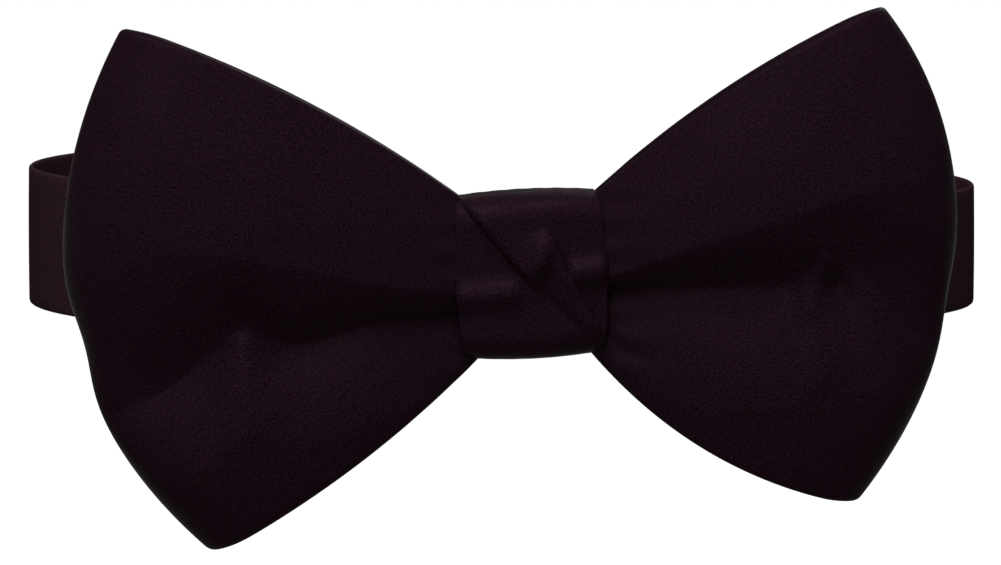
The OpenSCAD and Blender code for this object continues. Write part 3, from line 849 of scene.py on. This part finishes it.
# %% Strap sweep
# Radii from the neck's centre, heights and thicknesses in millimetres, and angles in degrees
BAND_R = 66.0
STRAP_T = 0.9
PUFF = 0.06
SHORT_TOP, LONG_TOP, BAND_FOOT = 9.75, 7.25, -9.75
KNOT_BAND = 8.2
SEAT_R = 67.4
KNOT_EDGE_AT = 9.6
SWING_AT = 25.0


def polar(phi, r):
    """The point at an angle from the front, in degrees, and a distance from the neck's centre."""
    return Vector((math.sin(math.radians(phi)) * r, -math.cos(math.radians(phi)) * r))


def strap_section():
    """Round a strap's section: (side, height, bulge) up one face, over the fold, down and round."""
    face_steps, fold_steps = 14, 5
    section = [(1, -1 + 2 * i / face_steps, 0) for i in range(face_steps)]
    section += [(math.cos(math.pi * i / fold_steps), 1, math.sin(math.pi * i / fold_steps))
                for i in range(fold_steps)]
    section += [(-side, -height, -bulge) for side, height, bulge in section]
    return section


def strap(name, path, thick=STRAP_T, material=band_satin):
    """A pressed strap along path, a list of (point, low, high) in millimetres down its middle."""
    run = [0.0]
    for (a, _, _), (b, _, _) in zip(path, path[1:]):
        run.append(run[-1] + (b - a).length)
    width = max(high - low for _, low, high in path)
    section = strap_section()
    count = len(section)
    bm = bmesh.new()
    uv_layer = bm.loops.layers.uv.new("cloth")
    bmesh.ops.create_grid(bm, x_segments=count, y_segments=len(path) - 1, size=0.5)
    for face in bm.faces:
        face.smooth = True
        for loop in face.loops:
            step = round((loop.vert.co.y + 0.5) * (len(path) - 1))
            loop[uv_layer].uv = ((loop.vert.co.x + 0.5) * 2 * width * MM, run[step] * MM)
    for vert in bm.verts:
        step = round((vert.co.y + 0.5) * (len(path) - 1))
        side, up, bulge = section[round((vert.co.x + 0.5) * count) % count]
        point, low, high = path[step]
        ahead = path[min(step + 1, len(path) - 1)][0] - path[max(step - 1, 0)][0]
        out = Vector((ahead.y, -ahead.x)).normalized()
        mid, half = (low + high) / 2, (high - low) / 2 - thick / 2
        # The faces puff slightly between the two pressed edges
        puff = PUFF * (1 - up * up) * side if abs(side) == 1 else 0
        spot = point + out * (side * (thick / 2 - PUFF) + puff)
        vert.co = Vector((spot.x, spot.y, mid + up * half + bulge * thick / 2)) * MM
    bmesh.ops.remove_doubles(bm, verts=bm.verts, dist=0.0001 * MM)
    bmesh.ops.holes_fill(bm, edges=[e for e in bm.edges if e.is_boundary], sides=0)
    bmesh.ops.recalc_face_normals(bm, faces=bm.faces)
    mesh = bpy.data.meshes.new(name)
    bm.to_mesh(mesh)
    bm.free()
    piece = bpy.data.objects.new(name, mesh)
    scene.collection.objects.link(piece)
    dress(piece, material)
    piece["flat"] = (run[-1] * MM, width * MM)
    return piece


print("points round a strap:", len(strap_section()))

# %% Paths beside the knot


def mirrored(path):
    """The same path on the other side of the neck, run backwards."""
    return [(Vector((-p.x, p.y)), low, high) for p, low, high in path][::-1]


def centre_at(phi, top):
    """The band's middle line and edges near the knot, where it is lifted and squeezed."""
    s = ease((phi - KNOT_EDGE_AT) / (SWING_AT - 2 - KNOT_EDGE_AT))
    r = mix(SEAT_R / math.cos(math.radians(min(phi, KNOT_EDGE_AT))), BAND_R, s) + STRAP_T / 2
    return polar(phi, r), mix(-KNOT_BAND, BAND_FOOT, s), mix(KNOT_BAND, top, s)


print("band width, mm:", SHORT_TOP - BAND_FOOT, LONG_TOP - BAND_FOOT)

# %% [markdown]
# ## The short half
#
# The short half ends in the hook: the strap rises under the hook's bar, turns round it and comes
# back on itself, and its tail is tacked down. One path says it all, from the knot to the tail's
# end, and its last turn is a half circle round the bar.

# %% Straps round bars
BAR_R = 0.65
BEND_R = BAR_R + 0.05 + STRAP_T / 2
# Where the bars of the hook, the eye and the adjuster are, and how far round the tail reaches
HOOK_AT, HOOK_R, HOOK_TAIL = 160.0, 67.7, 15.0
EYE_AT, EYE_R = 152.0, 68.9
SLIDER_AT, SLIDER_R = 130.0, 69.65
SLIDER_WINDOW, SLIDER_RIM = 5.4, 1.6
CENTRE_STEP, CENTRE_POINTS, CENTRE_END = 0.75, 38, 28.5


def round_bar(phi, r, a0, a1, low, high, steps=14):
    """Points of a strap bent round a bar, by angle: 0 is ahead and 90 is outwards."""
    c, turn = polar(phi, r), math.radians(phi)
    ahead, out = Vector((math.cos(turn), math.sin(turn))), Vector((math.sin(turn), -math.cos(turn)))
    points = []
    for i in range(steps + 1):
        a = math.radians(mix(a0, a1, i / steps))
        points.append((c + (ahead * math.cos(a) + out * math.sin(a)) * BEND_R, low, high))
    return points


def span(start, end, steps, middle_r, low, high):
    """Points from one angle to another, with the middle line's radius from a function."""
    return [(polar(mix(start, end, i / steps), middle_r(mix(start, end, i / steps))), low, high)
            for i in range(steps + 1)]


print("middle of a strap round a bar, mm:", BEND_R)

# %% Sew the short half
hook_start = HOOK_AT - math.degrees((BEND_R + STRAP_T / 2) / HOOK_R) - 2
neck_r = BAND_R + STRAP_T / 2


def hook_rise(phi):
    """Middle of the strap where it rises to pass under the hook's bar."""
    return mix(neck_r, HOOK_R - BEND_R, ease((phi - hook_start) / (HOOK_AT - hook_start)))


def tail_fall(phi):
    """Middle of the turned-back tail, from over the bar down on to the strap."""
    return mix(neck_r + STRAP_T + 0.05, HOOK_R + BEND_R, ease((phi - hook_start + 6) / 7))


short_path = [centre_at(i * CENTRE_STEP, SHORT_TOP) for i in range(CENTRE_POINTS)]
short_path += span(CENTRE_END, hook_start, 90, lambda phi: neck_r, BAND_FOOT, SHORT_TOP)
short_path += span(hook_start + 0.6, HOOK_AT - 0.6, 5, hook_rise, BAND_FOOT, SHORT_TOP)
short_path += round_bar(HOOK_AT, HOOK_R, -90, 90, BAND_FOOT, SHORT_TOP)
short_path += span(HOOK_AT - 0.8, HOOK_AT - HOOK_TAIL, 24, tail_fall, BAND_FOOT, SHORT_TOP)
short_strap = strap("short_band_satin", mirrored(short_path))
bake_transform(short_strap)
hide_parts("short_band", "hook_fold")
print("short half, mm:", [round(x / MM, 1) for x in short_strap["flat"]])

# %% [markdown]
# ## The long half
#
# The long half runs to the adjuster, which slides along it. On the real tie the strap passes
# through the adjuster and comes back, so the doubled part grows as the single part shortens.
# Here the side strap stretches between the band and the adjuster instead.

# %% The long half beside the bow
SPLIT_AT = 40.0
SLIDER_HALF = math.degrees((SLIDER_WINDOW + BAR_R + SLIDER_RIM) / SLIDER_R)
strap_end = SLIDER_AT - SLIDER_HALF - 1.5
front_path = [centre_at(i * CENTRE_STEP, LONG_TOP) for i in range(CENTRE_POINTS)]
front_path += span(CENTRE_END, SPLIT_AT, 8, lambda phi: neck_r, BAND_FOOT, LONG_TOP)
front_strap = strap("long_band_front", front_path)
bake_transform(front_strap)
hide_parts("band_centre")
print("front of the long half, mm:", [round(x / MM, 1) for x in front_strap["flat"]])

# %% Paths through the adjuster and the eye
OVER_R = 68.15
UNDER_R = 67.15
HUMP_R = 71.35
EYE_LEG = EYE_AT - 4
HUMP_FLAT = math.degrees((BEND_R + STRAP_T / 2) / SLIDER_R)
HUMP_FOOT = math.degrees((SLIDER_WINDOW + BAR_R - 0.5) / SLIDER_R)


def outer_mid(phi):
    """Middle of the strap over the adjuster's centre bar and out to the eye."""
    hump = 1 - ease((abs(phi - SLIDER_AT) - HUMP_FLAT) / (HUMP_FOOT - HUMP_FLAT))
    rise = ease((phi - EYE_LEG + 6) / 5)
    down = ease((strap_end + 1.5 - phi) / 6)
    r = OVER_R + hump * (HUMP_R - OVER_R) + rise * (EYE_R + BEND_R - STRAP_T / 2 - OVER_R)
    return mix(r, BAND_R, down) + STRAP_T / 2


def return_mid(phi):
    """Middle of the strap that comes back under it, from the eye to the centre bar."""
    low = UNDER_R + STRAP_T / 2
    near_bar = 1 - ease((phi - SLIDER_AT) / HUMP_FOOT)
    near_eye = ease((phi - EYE_LEG + 6) / 5)
    return low + near_bar * (SLIDER_R - BEND_R - low) + near_eye * (EYE_R - BEND_R - low)


print("strap over the centre bar, mm from the centre:", outer_mid(SLIDER_AT))

# %% The side strap and its interlining
SIDE_SLACK = 1.4


def side_r(phi):
    """The long half's middle line, which stands off the round a little at the side of the neck."""
    run = (phi - SPLIT_AT) / (strap_end - 9 - SPLIT_AT)
    return neck_r + SIDE_SLACK * math.sin(math.pi * max(0.0, min(1.0, run))) ** 2


side_path = span(SPLIT_AT, strap_end - 6, 80, side_r, BAND_FOOT, LONG_TOP)
side_path += span(strap_end - 5.5, strap_end, 8, outer_mid, BAND_FOOT, LONG_TOP)
side_strap = strap("long_band_side", side_path)
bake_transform(side_strap)
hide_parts("long_band")

CORE_T, CORE_INSET = 0.34, 0.4
core_path = [(p, low + CORE_INSET, high - CORE_INSET) for p, low, high in
             span(SWING_AT + 0.4, strap_end - 6, 90, side_r, BAND_FOOT, LONG_TOP)]
side_core = strap("long_band_interlining", core_path, CORE_T, interlining)
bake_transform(side_core)
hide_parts("long_lining")
print("side strap, mm:", [round(x / MM, 1) for x in side_strap["flat"]])

# %% [markdown]
# ## The doubled end
#
# The last strap goes over the adjuster's centre bar and out to the eye, turns round the eye's bar
# and comes back underneath to be sewn round the centre bar. It is one strip on the real tie, so
# it is one piece here, with its path made of five runs joined end to end.

# %% The doubled end, through the adjuster and the eye
loop_path = span(strap_end, EYE_LEG, 70, outer_mid, BAND_FOOT, LONG_TOP)
loop_path += span(EYE_LEG + 0.6, EYE_AT - 0.6, 5, lambda phi: EYE_R + BEND_R, BAND_FOOT, LONG_TOP)
loop_path += round_bar(EYE_AT, EYE_R, 90, -90, BAND_FOOT, LONG_TOP)
loop_path += span(EYE_AT - 0.6, EYE_LEG + 0.6, 5, lambda phi: EYE_R - BEND_R, BAND_FOOT, LONG_TOP)
loop_path += span(EYE_LEG, SLIDER_AT + 0.5, 40, return_mid, BAND_FOOT + 0.1, LONG_TOP - 0.1)
loop_path += round_bar(SLIDER_AT, SLIDER_R, 270, 30, BAND_FOOT + 0.1, LONG_TOP - 0.1, 20)
loop_strap = strap("adjuster_loop_satin", loop_path)
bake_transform(loop_strap)
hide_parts("outer_strap", "return_strap", "eye_fold")
print("doubled end, mm:", [round(x / MM, 1) for x in loop_strap["flat"]])

# %% [markdown]
# ## Stitches
#
# Two places show their stitches: the knot's seam behind, which is sewn by hand, and the short
# band's turned-back tail, which is bar-tacked by machine. Each stitch is a short arc of thread
# that dips into the cloth at both ends, made by sweeping a small circle along a half ellipse, and
# a row is one piece.

# %% Stitch rows
STITCH_R = 0.17


def stitch(bm, start, end, rise, steps=8, sides=7):
    """One stitch from start to end, standing out of the cloth by the vector rise, in metres."""
    side = (end - start).cross(rise).normalized()
    rings = []
    for i in range(steps + 1):
        a = math.pi * i / steps
        centre = (start + end) / 2 - (end - start) / 2 * math.cos(a) + rise * math.sin(a)
        heading = ((end - start) / 2 * math.sin(a) + rise * math.cos(a)).normalized()
        up = side.cross(heading)
        turned = Matrix((-up, side, -heading)).transposed().to_4x4()
        ring = bmesh.ops.create_circle(bm, segments=sides, radius=STITCH_R * MM,
                                       matrix=Matrix.Translation(centre) @ turned)
        rings.append(list({e for v in ring["verts"] for e in v.link_edges}))
    for one, two in zip(rings, rings[1:]):
        bmesh.ops.bridge_loops(bm, edges=one + two)
    bmesh.ops.holes_fill(bm, edges=rings[0] + rings[-1], sides=0)


def stitch_piece(name, stitches, body):
    """A row of stitches as one piece that rides on a body."""
    bm = bmesh.new()
    for start, end, rise in stitches:
        stitch(bm, start, end, rise)
    bmesh.ops.recalc_face_normals(bm, faces=bm.faces)
    for face in bm.faces:
        face.smooth = True
    mesh = bpy.data.meshes.new(name)
    bm.to_mesh(mesh)
    bm.free()
    piece = bpy.data.objects.new(name, mesh)
    scene.collection.objects.link(piece)
    dress(piece, sewing_thread)
    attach(piece, body)
    return piece


print("thread is thick, mm:", 2 * STITCH_R)

# %% Sew the knot's seam
SEAM_STITCHES, SEAM_HALF = 7, 8.4
seam = []
for i in range(SEAM_STITCHES):
    x = mix(-SEAM_HALF, SEAM_HALF, i / (SEAM_STITCHES - 1))
    seam.append((Vector((x - 0.45, -KNOT_BACK, -0.95)) * MM,
                 Vector((x + 0.45, -KNOT_BACK, 0.95)) * MM, Vector((0, 0.12, 0)) * MM))
knot_seam = stitch_piece("knot_seam_stitches", seam, "bow")
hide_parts("knot_stitches")
print("seam stitches:", len(seam))

# %% Tack the hook's tail
TACK_ROWS, TACK_STITCHES, TACK_LENGTH = 2, 9, 1.25
tack = []
for row in range(TACK_ROWS):
    phi = HOOK_AT - HOOK_TAIL + 1.6 + row * 2.6
    foot, out = polar(-phi, BAND_R + 2 * STRAP_T), polar(-phi, 0.14)
    for i in range(TACK_STITCHES):
        z = mix(-7.6, 6.2, i / (TACK_STITCHES - 1))
        tack.append((Vector((foot.x, foot.y, z)) * MM,
                     Vector((foot.x, foot.y, z + TACK_LENGTH)) * MM,
                     Vector((out.x, out.y, 0)) * MM))
tail_tack = stitch_piece("hook_tail_stitches", tack, "strap_short")
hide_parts("hook_tack")
print("tack stitches:", len(tack))

# %% [markdown]
# ## Finishes on what the rigid model already has right
#
# The metal pieces and the linings keep their own shapes and only need their finish.

# %% Dress the kept nodes
for name in ("slide_adjuster", "eye_plate", "hook"):
    dress(nodes[name], nickel)
for name in ("centre_lining", "short_lining"):
    dress(nodes[name], interlining)
print("hook and short lining:", [nodes[n].data.materials[0].name for n in ("hook", "short_lining")])
